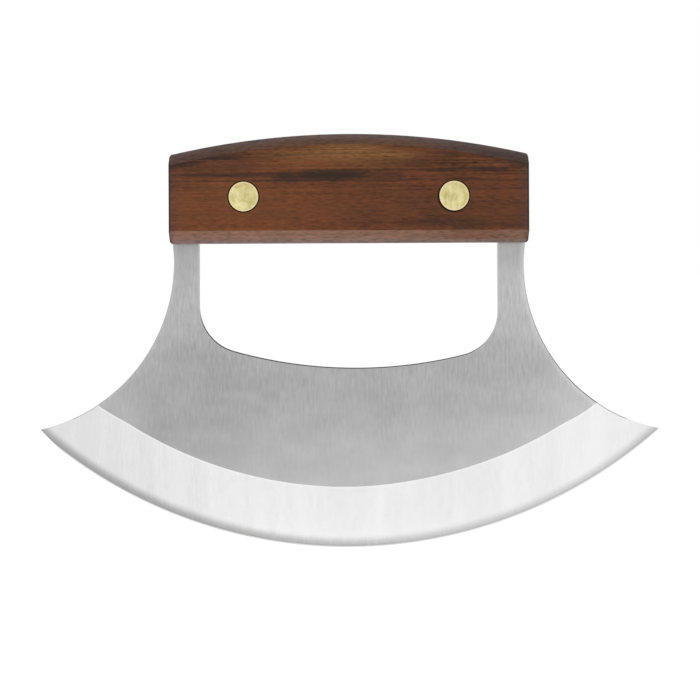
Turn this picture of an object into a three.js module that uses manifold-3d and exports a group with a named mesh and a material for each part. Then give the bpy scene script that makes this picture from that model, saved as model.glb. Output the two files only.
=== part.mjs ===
// Ulu knife: a curved stainless blade on two posts, with a full tang between two walnut scales.
// Millimetres. +X runs along the handle, -Y is the front and +Z is up.
// The origin is midway between the tips and through the plate, level with the lowest point of the edge.

import * as THREE from 'three';
import { mergeVertices } from 'three/addons/utils/BufferGeometryUtils.js';
import Module from 'manifold-3d';

// Blade plate
const BLADE_LENGTH = 165;
const PLATE_THICKNESS = 2;

// Cutting edge, an arc whose centre stands a little left of the middle
const EDGE_RADIUS = 125.5;
const EDGE_CENTRE = -0.3;

// Bevel, ground alike on both sides, and the honed strip along its edge
const BEVEL_WIDTH = 16.3;
const HONED_WIDTH = 2.2;
const HONED_THICKNESS = 0.9;

// Concave flares from the handle's ends, narrowest at a waist, out to tips that are clipped at a slope
const LEFT_FLARE = { radius: 46.1, waist: 46.75, waistHeight: 76.8, tipHeight: 31.7 };
const RIGHT_FLARE = { radius: 44.9, waist: 46.55, waistHeight: 75.5, tipHeight: 31.3 };
const TIP_SLOPE = 1.05;

// Finger window
const WINDOW_LEFT = -39.9;
const WINDOW_RIGHT = 39.55;
const WINDOW_FLOOR_HEIGHT = 48;
const WINDOW_FLOOR_CENTRE = 2.1;
const WINDOW_FLOOR_RADIUS = 120.2;
const WINDOW_LEFT_CORNER = 12.4;
const WINDOW_RIGHT_CORNER = 12;
const WINDOW_TOP_CORNER = 0.9;
const TANG_RECESS = 0.3;

// Handle
const HANDLE_LENGTH = 94.2;
const HANDLE_THICKNESS = 19;
const HANDLE_BOTTOM_HEIGHT = 81.25;
const HANDLE_TOP_HEIGHT = 110;
const CROWN_RADIUS = 208;
const CROWN_CHAMFER = 2.9;
const BOTTOM_CHAMFER = 3.4;
const HANDLE_TOP_ROUNDING = 1;
const HANDLE_BOTTOM_ROUNDING = 0.8;
const END_EASING = 0.5;

// Cutler's rivets: a hollow barrel from the front and a pin pressed into it from the back
const RIVET_SPACING = 55;
const RIVET_HEIGHT = 93.55;
const RIVET_HEAD_DIAMETER = 7.94;
const RIVET_HEAD_THICKNESS = 1.6;
const RIVET_RIM_ROUNDING = 0.3;
const BARREL_DIAMETER = 5;
const BARREL_BORE_DEPTH = 12;
const BARREL_END_GAP = 0.5;
const PIN_DIAMETER = 3.5;
const PIN_LENGTH = 11;
const PIN_TIP_CHAMFER = 0.4;
const PRESS_GAP = 0.05;
const HOLE_GAP = 0.15;
const COUNTERBORE_GAP = 0.25;

// Facets: steps in each arc of an outline, and round each turned piece
const ARC_STEPS = 12;
const BEVEL_STEPS = 288;
const CROWN_STEPS = 360;
const RIVET_STEPS = 48;
const RIM_STEPS = 4;

// A cutting solid passes this far beyond what it cuts
const OVERSHOOT = 5;

const HALF_BLADE = BLADE_LENGTH / 2;
const HALF_PLATE = PLATE_THICKNESS / 2;
const HALF_HANDLE = HANDLE_THICKNESS / 2;
const HALF_LENGTH = HANDLE_LENGTH / 2;
const SCALE_THICKNESS = HALF_HANDLE - HALF_PLATE;
const CROWN_CENTRE_HEIGHT = HANDLE_TOP_HEIGHT - CROWN_RADIUS;
const HEAD_RADIUS = RIVET_HEAD_DIAMETER / 2;
const HEAD_SEAT = HALF_HANDLE - RIVET_HEAD_THICKNESS;
const BORE_RADIUS = PIN_DIAMETER / 2 + PRESS_GAP;
const HOLE_RADIUS = BARREL_DIAMETER / 2 + HOLE_GAP;
const RIVET_PLACES = { left: -RIVET_SPACING / 2, right: RIVET_SPACING / 2 };
const FRONT = -1;
const BACK = 1;

const wasm = await Module();
wasm.setup();

// A closed geometry as a solid that can be cut
function toSolid(geometry) {
  const bare = geometry.clone();
  bare.deleteAttribute('normal');
  bare.deleteAttribute('uv');
  const merged = mergeVertices(bare);
  const vertProperties = Float32Array.from(merged.attributes.position.array);
  const triVerts = Uint32Array.from(merged.index.array);
  return new wasm.Manifold(new wasm.Mesh({ numProp: 3, vertProperties, triVerts }));
}

function toGeometry(solid) {
  const mesh = solid.getMesh();
  const geometry = new THREE.BufferGeometry();
  geometry.setAttribute('position', new THREE.BufferAttribute(mesh.vertProperties, 3));
  geometry.setIndex(new THREE.BufferAttribute(mesh.triVerts, 1));
  geometry.computeVertexNormals();
  return geometry;
}

function extruded(outline, depth) {
  return new THREE.ExtrudeGeometry(outline, { depth, bevelEnabled: false, curveSegments: ARC_STEPS });
}

function polygon(corners) {
  return new THREE.Shape(corners.map(([u, v]) => new THREE.Vector2(u, v)));
}

// A profile of [radius, y] pairs, turned about an axis that lies along Y
function turned(profile, steps, axisX, axisHeight) {
  const rising = profile[0][1] < profile.at(-1)[1] ? profile : [...profile].reverse();
  const points = rising.map(([radius, y]) => new THREE.Vector2(radius, y));
  return new THREE.LatheGeometry(points, steps).translate(axisX, 0, axisHeight);
}

// The crown and its two rounded corners, added to a side view from right to left
function addCrown(outline) {
  const x = HALF_LENGTH - HANDLE_TOP_ROUNDING;
  const reach = CROWN_RADIUS - HANDLE_TOP_ROUNDING;
  const height = CROWN_CENTRE_HEIGHT + Math.sqrt(reach ** 2 - x ** 2);
  const lean = Math.asin(x / reach);
  const up = Math.PI / 2;
  outline.absarc(x, height, HANDLE_TOP_ROUNDING, 0, up - lean, false);
  outline.absarc(0, CROWN_CENTRE_HEIGHT, CROWN_RADIUS, up - lean, up + lean, false);
  outline.absarc(-x, height, HANDLE_TOP_ROUNDING, up + lean, Math.PI, false);
}

// A flare's centre, its turn from the waist up to the handle and down to the tip, and the foot of its clip
function flareArc({ radius, waist, tipHeight }) {
  const centre = waist + radius;
  const rise = Math.acos((centre - HALF_LENGTH) / radius);
  const fall = Math.acos((centre - HALF_BLADE) / radius);
  const foot = HALF_BLADE - (tipHeight + OVERSHOOT) / TIP_SLOPE;
  return { centre, rise, fall, foot };
}

// Side view of the plate, with a straight line at the bottom, where the bevel cuts it
function plateOutline() {
  const left = flareArc(LEFT_FLARE);
  const right = flareArc(RIGHT_FLARE);
  const rightStart = Math.PI + right.fall;
  const rightEnd = Math.PI - right.rise;
  const outline = new THREE.Shape();
  outline.moveTo(-left.foot, -OVERSHOOT);
  outline.lineTo(right.foot, -OVERSHOOT);
  outline.lineTo(HALF_BLADE, RIGHT_FLARE.tipHeight);
  outline.absarc(right.centre, RIGHT_FLARE.waistHeight, RIGHT_FLARE.radius, rightStart, rightEnd, true);
  addCrown(outline);
  outline.absarc(-left.centre, LEFT_FLARE.waistHeight, LEFT_FLARE.radius, left.rise, -left.fall, true);
  outline.lineTo(-HALF_BLADE, LEFT_FLARE.tipHeight);
  return outline;
}

// Fillet between a post's inner side and the cupped floor of the window
function windowCorner(postX, radius) {
  const x = postX - Math.sign(postX) * radius;
  const across = x - WINDOW_FLOOR_CENTRE;
  const reach = WINDOW_FLOOR_RADIUS - radius;
  const height = WINDOW_FLOOR_HEIGHT + WINDOW_FLOOR_RADIUS - Math.sqrt(reach ** 2 - across ** 2);
  return { x, height, lean: Math.asin(across / reach) };
}

function windowOutline() {
  const left = windowCorner(WINDOW_LEFT, WINDOW_LEFT_CORNER);
  const right = windowCorner(WINDOW_RIGHT, WINDOW_RIGHT_CORNER);
  const leftEnd = Math.PI * 1.5 + left.lean;
  const rightEnd = Math.PI * 1.5 + right.lean;
  const floorHeight = WINDOW_FLOOR_HEIGHT + WINDOW_FLOOR_RADIUS;
  const topHeight = HANDLE_BOTTOM_HEIGHT + TANG_RECESS - WINDOW_TOP_CORNER;
  const hole = new THREE.Path();
  hole.absarc(WINDOW_FLOOR_CENTRE, floorHeight, WINDOW_FLOOR_RADIUS, leftEnd, rightEnd, false);
  hole.absarc(right.x, right.height, WINDOW_RIGHT_CORNER, rightEnd, Math.PI * 2, false);
  hole.absarc(WINDOW_RIGHT - WINDOW_TOP_CORNER, topHeight, WINDOW_TOP_CORNER, 0, Math.PI / 2, false);
  hole.absarc(WINDOW_LEFT + WINDOW_TOP_CORNER, topHeight, WINDOW_TOP_CORNER, Math.PI / 2, Math.PI, false);
  hole.absarc(left.x, left.height, WINDOW_LEFT_CORNER, Math.PI, leftEnd, false);
  return hole;
}

// A lens turned about the centre of the edge's arc: each side is a bevel cone that ends in the honed strip
function bevelLens() {
  const shoulderRadius = EDGE_RADIUS - BEVEL_WIDTH;
  const honedRadius = EDGE_RADIUS - HONED_WIDTH;
  const halfHoned = HONED_THICKNESS / 2;
  const slope = (HALF_PLATE - halfHoned) / (honedRadius - shoulderRadius);
  const innerRadius = shoulderRadius - OVERSHOOT;
  const innerHalf = HALF_PLATE + slope * OVERSHOOT;
  const profile = [
    [0, -innerHalf],
    [innerRadius, -innerHalf],
    [honedRadius, -halfHoned],
    [EDGE_RADIUS, 0],
    [honedRadius, halfHoned],
    [innerRadius, innerHalf],
    [0, innerHalf],
  ];
  return turned(profile, BEVEL_STEPS, EDGE_CENTRE, EDGE_RADIUS);
}

function bladeGeometry() {
  const outline = plateOutline();
  outline.holes.push(windowOutline());
  for (const x of Object.values(RIVET_PLACES)) {
    outline.holes.push(new THREE.Path().absarc(x, RIVET_HEIGHT, HOLE_RADIUS, 0, Math.PI * 2, false));
  }
  const plate = extruded(outline, PLATE_THICKNESS);
  plate.rotateX(Math.PI / 2).translate(0, HALF_PLATE, 0);
  return toGeometry(toSolid(plate).intersect(toSolid(bevelLens())));
}

// A scale before its chamfers: the handle's side view, from the plate out to the handle's face
function scaleBlank(side) {
  const x = HALF_LENGTH - HANDLE_BOTTOM_ROUNDING;
  const height = HANDLE_BOTTOM_HEIGHT + HANDLE_BOTTOM_ROUNDING;
  const down = Math.PI * 1.5;
  const outline = new THREE.Shape();
  outline.absarc(-x, height, HANDLE_BOTTOM_ROUNDING, Math.PI, down, false);
  outline.absarc(x, height, HANDLE_BOTTOM_ROUNDING, down, Math.PI * 2, false);
  addCrown(outline);
  const middle = side * (HALF_PLATE + SCALE_THICKNESS / 2);
  const blank = extruded(outline, SCALE_THICKNESS).rotateX(Math.PI / 2);
  return blank.translate(0, middle + SCALE_THICKNESS / 2, 0);
}

// A disc about the crown's centre whose sloping rim cuts the chamfer under the crown
function crownChamfer(side) {
  const outer = HALF_HANDLE + OVERSHOOT;
  const rim = CROWN_RADIUS + OVERSHOOT;
  const profile = [
    [0, 0],
    [rim, 0],
    [rim, side * (HALF_HANDLE - CROWN_CHAMFER - OVERSHOOT)],
    [CROWN_RADIUS - CROWN_CHAMFER - OVERSHOOT, side * outer],
    [0, side * outer],
  ];
  return turned(profile, CROWN_STEPS, 0, CROWN_CENTRE_HEIGHT);
}

// A bar along the handle whose sloping side cuts the chamfer along the bottom
function bottomChamfer(side) {
  const low = HANDLE_BOTTOM_HEIGHT - OVERSHOOT;
  const high = HANDLE_TOP_HEIGHT + OVERSHOOT;
  const outer = HALF_HANDLE + OVERSHOOT;
  const section = polygon([
    [0, low],
    [side * (HALF_HANDLE - BOTTOM_CHAMFER - OVERSHOOT), low],
    [side * outer, HANDLE_BOTTOM_HEIGHT + BOTTOM_CHAMFER + OVERSHOOT],
    [side * outer, high],
    [0, high],
  ]);
  const length = HANDLE_LENGTH + 2 * OVERSHOOT;
  return extruded(section, length).rotateX(Math.PI / 2).rotateZ(Math.PI / 2).translate(-length / 2, 0, 0);
}

// A block seen from above whose sloping corners ease the outer edges of a scale's ends
function endEasing(side) {
  const outer = HALF_HANDLE + OVERSHOOT;
  const wide = HALF_LENGTH + OVERSHOOT;
  const narrow = HALF_LENGTH - END_EASING - OVERSHOOT;
  const slopeStart = HALF_HANDLE - END_EASING - OVERSHOOT;
  const plan = polygon([
    [-wide, 0],
    [wide, 0],
    [wide, side * slopeStart],
    [narrow, side * outer],
    [-narrow, side * outer],
    [-wide, side * slopeStart],
  ]);
  return extruded(plan, HANDLE_TOP_HEIGHT + OVERSHOOT);
}

// A stepped hole through a scale: a clearance hole for the barrel and a counterbore for the head
function scaleHole(side, x) {
  const headRadius = HEAD_RADIUS + COUNTERBORE_GAP;
  const outer = HALF_HANDLE + OVERSHOOT;
  const profile = [
    [0, 0],
    [HOLE_RADIUS, 0],
    [HOLE_RADIUS, side * HEAD_SEAT],
    [headRadius, side * HEAD_SEAT],
    [headRadius, side * outer],
    [0, side * outer],
  ];
  return turned(profile, RIVET_STEPS, x, RIVET_HEIGHT);
}

function scaleGeometry(side) {
  let solid = toSolid(scaleBlank(side));
  for (const cut of [crownChamfer, bottomChamfer, endEasing]) {
    solid = solid.intersect(toSolid(cut(side)));
  }
  for (const x of Object.values(RIVET_PLACES)) {
    solid = solid.subtract(toSolid(scaleHole(side, x)));
  }
  return toGeometry(solid);
}

// A rivet's head from the middle of its face to its seat, with a rounded rim
function headProfile(side) {
  const profile = [[0, side * HALF_HANDLE]];
  for (let step = 0; step <= RIM_STEPS; step += 1) {
    const angle = (step / RIM_STEPS) * (Math.PI / 2);
    const radius = HEAD_RADIUS - RIVET_RIM_ROUNDING * (1 - Math.sin(angle));
    const depth = HALF_HANDLE - RIVET_RIM_ROUNDING * (1 - Math.cos(angle));
    profile.push([radius, side * depth]);
  }
  profile.push([HEAD_RADIUS, side * HEAD_SEAT]);
  return profile;
}

function barrelGeometry(x) {
  const end = HEAD_SEAT - BARREL_END_GAP;
  const boreFloor = end - BARREL_BORE_DEPTH;
  const profile = [
    ...headProfile(FRONT),
    [BARREL_DIAMETER / 2, FRONT * HEAD_SEAT],
    [BARREL_DIAMETER / 2, end],
    [BORE_RADIUS, end],
    [BORE_RADIUS, boreFloor],
    [0, boreFloor],
  ];
  return turned(profile, RIVET_STEPS, x, RIVET_HEIGHT);
}

function pinGeometry(x) {
  const tip = HEAD_SEAT - PIN_LENGTH;
  const profile = [
    ...headProfile(BACK),
    [PIN_DIAMETER / 2, HEAD_SEAT],
    [PIN_DIAMETER / 2, tip + PIN_TIP_CHAMFER],
    [PIN_DIAMETER / 2 - PIN_TIP_CHAMFER, tip],
    [0, tip],
  ];
  return turned(profile, RIVET_STEPS, x, RIVET_HEIGHT);
}

const FINISHES = {
  stainless: { color: 0xb4b5b6, metalness: 1, roughness: 0.38 },
  walnut: { color: 0x6b4029, metalness: 0, roughness: 0.5 },
  brass: { color: 0xdccf95, metalness: 1, roughness: 0.3 },
};

function piece(name, geometry, finish) {
  const mesh = new THREE.Mesh(geometry, new THREE.MeshStandardMaterial(FINISHES[finish]));
  mesh.name = name;
  return mesh;
}

const knife = new THREE.Group();
knife.name = 'ulu_knife';
knife.add(piece('blade', bladeGeometry(), 'stainless'));
knife.add(piece('front_scale', scaleGeometry(FRONT), 'walnut'));
knife.add(piece('back_scale', scaleGeometry(BACK), 'walnut'));
for (const [place, x] of Object.entries(RIVET_PLACES)) {
  knife.add(piece(`rivet_${place}_barrel`, barrelGeometry(x), 'brass'));
  knife.add(piece(`rivet_${place}_pin`, pinGeometry(x), 'brass'));
}

export default knife;
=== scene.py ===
# %% [markdown]
# # An ulu knife
#
# An ulu is a rocking knife: one steel plate with a curved edge, two posts beside a finger window, and a
# wooden handle riveted over the tang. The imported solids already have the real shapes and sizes. This
# lesson softens their edges, gives each piece the finish of its real material, and photographs the knife
# on a white table.

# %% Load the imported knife
import math

import bmesh
import bpy
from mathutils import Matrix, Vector


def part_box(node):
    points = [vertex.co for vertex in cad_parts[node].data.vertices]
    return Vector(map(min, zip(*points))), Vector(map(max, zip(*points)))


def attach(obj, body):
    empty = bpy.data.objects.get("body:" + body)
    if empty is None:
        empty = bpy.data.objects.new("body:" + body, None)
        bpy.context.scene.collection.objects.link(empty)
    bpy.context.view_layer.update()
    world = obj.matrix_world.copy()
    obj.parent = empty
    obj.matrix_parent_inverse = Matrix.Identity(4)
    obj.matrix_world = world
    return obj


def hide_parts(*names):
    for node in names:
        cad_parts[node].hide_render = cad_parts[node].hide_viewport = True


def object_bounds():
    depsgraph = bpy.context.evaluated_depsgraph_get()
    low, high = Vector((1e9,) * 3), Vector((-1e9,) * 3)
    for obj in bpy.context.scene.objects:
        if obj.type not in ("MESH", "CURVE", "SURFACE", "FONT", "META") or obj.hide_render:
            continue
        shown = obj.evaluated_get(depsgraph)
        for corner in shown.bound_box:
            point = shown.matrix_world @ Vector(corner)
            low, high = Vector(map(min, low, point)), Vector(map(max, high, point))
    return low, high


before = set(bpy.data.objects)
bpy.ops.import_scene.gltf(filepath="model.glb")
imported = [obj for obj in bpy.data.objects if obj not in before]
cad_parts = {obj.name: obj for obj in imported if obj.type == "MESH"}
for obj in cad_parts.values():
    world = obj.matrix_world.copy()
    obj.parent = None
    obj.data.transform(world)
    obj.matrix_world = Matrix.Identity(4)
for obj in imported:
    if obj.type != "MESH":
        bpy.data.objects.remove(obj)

MM = 0.001
CAD_LOW, CAD_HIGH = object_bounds()
print("nodes:", ", ".join(sorted(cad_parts)))
print("box in mm:", [round(side / MM, 2) for side in CAD_HIGH - CAD_LOW])

# %% [markdown]
# ## The camera
#
# The photograph looks straight at the blade's flat side, and the knife itself says where the camera
# stood. The scale comes from the blade: 165 mm from tip to tip span 617.5 of the image's 700 pixels. The
# distance shows in the handle, whose front face stands nearer than the plate and looks a little wider
# than the posts, which fits about 390 mm. The height shows there too: no underside of the handle is seen,
# so the camera stood level with it, and the picture was cropped lower. A lens shift repeats that crop,
# where tilting the camera would bend the upright posts.

# %% Make the camera
IMAGE_PIXELS = 700
TIP_TO_TIP_PIXELS = 617.5
EDGE_BOTTOM_PIXELS = 197.35  # from the middle of the image down to the lowest point of the edge
MIDDLE_PIXELS = 0.9  # the knife stands this far left of the camera
CAMERA_DISTANCE = 390 * MM
CAMERA_HEIGHT = 80.8 * MM
CAMERA_LEVEL = math.radians(90)
CAMERA_ROLL = math.radians(0.27)

blade_low, blade_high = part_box("blade")
pixel = (blade_high.x - blade_low.x) / TIP_TO_TIP_PIXELS
picture_width = IMAGE_PIXELS * pixel
camera_data = bpy.data.cameras.new("photo_camera")
camera_data.lens = camera_data.sensor_width * CAMERA_DISTANCE / picture_width
camera_data.shift_y = (EDGE_BOTTOM_PIXELS * pixel - CAMERA_HEIGHT) / picture_width
camera = bpy.data.objects.new("photo_camera", camera_data)
camera.location = (MIDDLE_PIXELS * pixel, -CAMERA_DISTANCE, CAMERA_HEIGHT)
camera.rotation_euler = (CAMERA_LEVEL, CAMERA_ROLL, 0)
bpy.context.scene.collection.objects.link(camera)
bpy.context.scene.camera = camera
bpy.context.scene.view_settings.view_transform = "Standard"
print(f"one pixel is {pixel / MM:.4f} mm at the plate, lens {camera_data.lens:.1f} mm")

# %% [markdown]
# ## Helpers for materials
#
# Colours are picked as sRGB hex values, which is how a screen shows them, but a shader works in linear
# light, so one function turns one into the other. The second helper adds a node: its own settings are
# keywords, and its sockets are given by name or by number, each as a plain value or as the output that
# feeds it. It hands back the node's first output, so that calls can be chained in reading order. The third
# starts a material with an empty node tree.

# %% Colour and node helpers
SRGB_KNEE = 0.04045
SRGB_SLOPE = 12.92
SRGB_OFFSET = 0.055
SRGB_POWER = 2.4


def linear(code):
    """An sRGB hex colour such as "#B4B4B4" as linear red, green, blue and alpha"""
    shares = [int(code[start:start + 2], 16) / 255 for start in (1, 3, 5)]
    bent = [((s + SRGB_OFFSET) / (1 + SRGB_OFFSET)) ** SRGB_POWER if s > SRGB_KNEE else s / SRGB_SLOPE
            for s in shares]
    return (*bent, 1.0)


def add(tree, kind, sockets=None, **settings):
    """Adds one node to a tree, sets it up, links it and returns its first live output"""
    node = tree.nodes.new(kind)
    for name, value in settings.items():
        setattr(node, name, value)
    live = [socket for socket in node.inputs if socket.enabled]
    for key, value in (sockets or {}).items():
        socket = live[key] if isinstance(key, int) else next(s for s in live if s.name == key)
        if isinstance(value, bpy.types.NodeSocket):
            tree.links.new(value, socket)
        else:
            socket.default_value = value
    return next((socket for socket in node.outputs if socket.enabled), None)


def fresh_material(name):
    """A new material and its empty node tree"""
    material = bpy.data.materials.new(name)
    material.use_nodes = True
    material.node_tree.nodes.clear()
    return material, material.node_tree


print("mid grey #808080 is", round(linear("#808080")[0], 3), "in linear light")

# %% [markdown]
# ## The white table and its light
#
# The picture was taken over a lit white table: the lower chamfer of the handle is the brightest wood and
# the upper one the darkest, so more light comes from below than from above. The floor is therefore an
# opal sheet with a glow of its own, which gives the eye an even white. The camera sees less of that glow
# than the knife does, because the lamps already bring the sheet up to white, and a floor brighter than
# white would drown the knife's shadow.

# %% Make the floor
FLOOR_SIZE = 6.0
FLOOR_COLOUR = "#EDEDED"
FLOOR_ROUGHNESS = 0.9
FLOOR_GLOW = 1.1
FLOOR_GLOW_SEEN = 0.82
WHITE = "#FFFFFF"

floor_mesh = bpy.data.meshes.new("floor")
half = FLOOR_SIZE / 2
corners = [(-half, -half, 0), (half, -half, 0), (half, half, 0), (-half, half, 0)]
floor_mesh.from_pydata(corners, [], [(0, 1, 2, 3)])
floor = bpy.data.objects.new("floor", floor_mesh)
bpy.context.scene.collection.objects.link(floor)
# Opal sheet lit from below: the eye sees an even white
opal, tree = fresh_material("opal_sheet_lit")
rays = add(tree, "ShaderNodeLightPath").node.outputs
seen = add(tree, "ShaderNodeMath", {0: rays["Is Camera Ray"], 1: rays["Is Glossy Ray"]}, operation="MAXIMUM")
glow = add(tree, "ShaderNodeMapRange", {"Value": seen, "To Min": FLOOR_GLOW, "To Max": FLOOR_GLOW_SEEN})
sheet = add(tree, "ShaderNodeBsdfPrincipled", {
    "Base Color": linear(FLOOR_COLOUR), "Roughness": FLOOR_ROUGHNESS, "Specular IOR Level": 0.0,
    "Emission Color": linear(WHITE), "Emission Strength": glow})
add(tree, "ShaderNodeOutputMaterial", {"Surface": sheet})
floor_mesh.materials.append(opal)
print("floor", FLOOR_SIZE, "m square at height 0, where the edge touches it")

# %% [markdown]
# The room around the table is a plain white tent. What the camera sees of it, and what the metal mirrors,
# is white at a strength of 1. As a lamp it is dimmer, because most of the light in the picture comes from
# the table and from a soft box near the camera.

# %% Make the tent and the soft box
TENT_LIGHT = 0.3
TENT_WHITE = 1.0
SOFT_BOX_SIZE = 1.0
SOFT_BOX_PLACE = Vector((-0.5, -0.9, 0.9))
SOFT_BOX_WATTS = 0.8

world = bpy.data.worlds.new("white_tent")
bpy.context.scene.world = world
world.use_nodes = True
tree = world.node_tree
tree.nodes.clear()
rays = add(tree, "ShaderNodeLightPath").node.outputs
seen = add(tree, "ShaderNodeMath", {0: rays["Is Camera Ray"], 1: rays["Is Glossy Ray"]}, operation="MAXIMUM")
strength = add(tree, "ShaderNodeMapRange", {"Value": seen, "To Min": TENT_LIGHT, "To Max": TENT_WHITE})
tent = add(tree, "ShaderNodeBackground", {"Color": linear(WHITE), "Strength": strength})
add(tree, "ShaderNodeOutputWorld", {"Surface": tent})

lamp_data = bpy.data.lights.new("soft_box", "AREA")
lamp_data.size = SOFT_BOX_SIZE
lamp_data.energy = SOFT_BOX_WATTS
lamp = bpy.data.objects.new("soft_box", lamp_data)
lamp.location = SOFT_BOX_PLACE
aim = Vector((0, 0, (blade_low.z + blade_high.z) / 2)) - SOFT_BOX_PLACE
lamp.rotation_euler = aim.to_track_quat("-Z", "Y").to_euler()
bpy.context.scene.collection.objects.link(lamp)
print("tent", TENT_LIGHT, "as a lamp, soft box", SOFT_BOX_WATTS, "W")

# %% [markdown]
# ## Pieces with softened edges
#
# A cut solid has knife-sharp corners everywhere, and no real piece has: a fine rounding catches the light
# along every edge. A Bevel modifier would round every corner alike, so the rounding is done in mesh code,
# where the edges can be picked one by one. Each piece is a copy of its solid. The copy is welded, its
# flat triangles are merged into whole faces, and the edges that a hand or a belt would touch are rounded.
# Normals weighted by the size of the faces then keep the flats flat right up to the rounding.

# %% The piece maker
WELD_DISTANCE = 0.001 * MM
FLAT_ANGLE = math.radians(0.02)
ARRIS_ANGLE = math.radians(35)
ROUNDING_STEPS = 3
ROUND_PROFILE = 0.5
LARGE_FACES_FIRST = 100


def softened(node, name, material, picks=None, rounding=0.0):
    """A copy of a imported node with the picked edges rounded, which then stands for the node"""
    shape = bmesh.new()
    shape.from_mesh(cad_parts[node].data)
    bmesh.ops.remove_doubles(shape, verts=shape.verts, dist=WELD_DISTANCE)
    bmesh.ops.dissolve_limit(shape, angle_limit=FLAT_ANGLE, verts=shape.verts, edges=shape.edges)
    shape.normal_update()
    arrises = [e for e in shape.edges if picks and e.calc_face_angle() > ARRIS_ANGLE and picks(e)]
    bmesh.ops.bevel(shape, geom=arrises, offset=rounding, offset_type="OFFSET", segments=ROUNDING_STEPS,
                    profile=ROUND_PROFILE, affect="EDGES", loop_slide=False)
    shape.normal_update()
    for face in shape.faces:
        face.smooth = True
    for edge in shape.edges:
        edge.smooth = edge.calc_face_angle() < ARRIS_ANGLE
    mesh = bpy.data.meshes.new(name)
    shape.to_mesh(mesh)
    shape.free()
    mesh.materials.append(material)
    piece = bpy.data.objects.new(name, mesh)
    bpy.context.scene.collection.objects.link(piece)
    flat = piece.modifiers.new("flat_faces_stay_flat", "WEIGHTED_NORMAL")
    flat.keep_sharp = True
    flat.weight = LARGE_FACES_FIRST
    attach(piece, "root")
    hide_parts(node)
    print(f"{name}: {len(arrises)} edges rounded, {len(mesh.polygons)} faces")


print("edges steeper than", round(math.degrees(ARRIS_ANGLE)), "degrees can be rounded and are drawn sharp")

# %% [markdown]
# ## Patterns, weights and drifts
#
# Steel, wood and brass are painted in the same three moves. A pattern is noise whose place is divided by
# the real size of one patch in millimetres, so a stretched size draws strokes or fibres. Weights mix some
# patterns into one tone. Drifts then shift that tone slowly between two places, which is how uneven
# pressure of a belt or a paler end of a board looks. Painted masks could do the last, but a short table
# of places is easier to read and to correct.

# %% Pattern, weight and drift helpers
MIDDLE_NOISE = 0.5


def patterns(tree, place, sizes, roughness=0.5):
    """One noise for each named pattern, scaled so that a patch of it has its real size in mm"""
    noises = {}
    for name, (size, detail) in sizes.items():
        patch = add(tree, "ShaderNodeVectorMath", {0: place, 1: size}, operation="DIVIDE")
        noises[name] = add(tree, "ShaderNodeTexNoise", {
            "Vector": patch, "Scale": 1.0, "Detail": detail, "Roughness": roughness})
    return noises


def weighed(tree, tone, noises, weights):
    """A tone with each named pattern added by its weight"""
    for name, weight in weights.items():
        tone = add(tree, "ShaderNodeMath", {0: noises[name], 1: weight, 2: tone}, operation="MULTIPLY_ADD")
    return tone


def drifting(tree, tone, measures, drifts, ease="SMOOTHSTEP"):
    """A tone that each drift changes between two places of a named measure"""
    for measure, start, end, change in drifts:
        drift = add(tree, "ShaderNodeMapRange", {
            "Value": measures[measure], "From Min": start, "From Max": end, "To Max": change},
            interpolation_type=ease)
        tone = add(tree, "ShaderNodeMath", {0: drift, 1: tone}, operation="ADD")
    return tone


print("noise lies round", MIDDLE_NOISE, "and drifts ease in and out unless they are linear")

# %% [markdown]
# ## Stainless steel: brushed flat, ground bevel, honed edge
#
# The plate is one piece of stainless steel with three finishes, and what tells them apart is the distance
# from the cutting edge. The edge is an arc whose centre is known, so that distance is one subtraction in
# the node tree. Three masks painted by hand would also do, but they would have to follow the arc by eye.
# The belt's strokes are thinner than a pixel, so they are drawn about twice as wide as the real ones to
# show at all.

# %% A spot on the plate and the plate's patterns
EDGE_RADIUS = 125.5
EDGE_CENTRE = (-0.3, 0, EDGE_RADIUS)
SIDE_VIEW = (1, 0, 1)
# Width, depth and height of one patch in mm, and its detail
PLATE_PATTERNS = {
    "strokes": ((0.55, 1.0, 3.5), 2.0),
    "clouds": ((14.0, 1.0, 8.0), 3.0),
    "bands": ((5.0, 1.0, 45.0), 3.0),
}
PLATE_NOISE_ROUGHNESS = 0.55


def plate_place(tree, spot):
    """A spot on the plate in mm as the side view shows it, and its measures: X, Z and in from the edge"""
    place = add(tree, "ShaderNodeVectorMath", {0: spot, "Scale": 1 / MM}, operation="SCALE")
    side_view = add(tree, "ShaderNodeVectorMath", {0: place, 1: SIDE_VIEW}, operation="MULTIPLY")
    radius = add(tree, "ShaderNodeVectorMath", {0: side_view, 1: EDGE_CENTRE}, operation="DISTANCE")
    from_edge = add(tree, "ShaderNodeMath", {0: EDGE_RADIUS, 1: radius}, operation="SUBTRACT")
    axes = add(tree, "ShaderNodeSeparateXYZ", {0: side_view}).node.outputs
    return side_view, {"X": axes["X"], "Z": axes["Z"], "from edge": from_edge}


stroke_width, _, stroke_length = PLATE_PATTERNS["strokes"][0]
print("a stroke is", stroke_length, "mm long and is drawn", stroke_width, "mm wide")

# %% [markdown]
# ### The brushed flats
#
# A belt was run up and down the plate. It leaves short upright strokes, and to the eye that is a mid-grey
# satin. The belt pressed unevenly: the band under the window is the darkest, the posts, the foot of the
# flat and its right side are lighter, and so are the borders along the flares, which were ground last.
# Each of these is a row in a table, and so is a painted shade that darkens the flat just below the handle.
# The strokes are deepest halfway up the posts and fade just below the handle, where the belt was lifted.

# %% The brushed flats
FLAT_DARK = "#9A9A9A"
FLAT_LIGHT = "#C8C8C8"
BAND_SHARE = 0.22
CLOUD_SWING = 0.3
BELT_LEAN = 0.15  # the belt's pass along the foot climbed to the right by this slope
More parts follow.
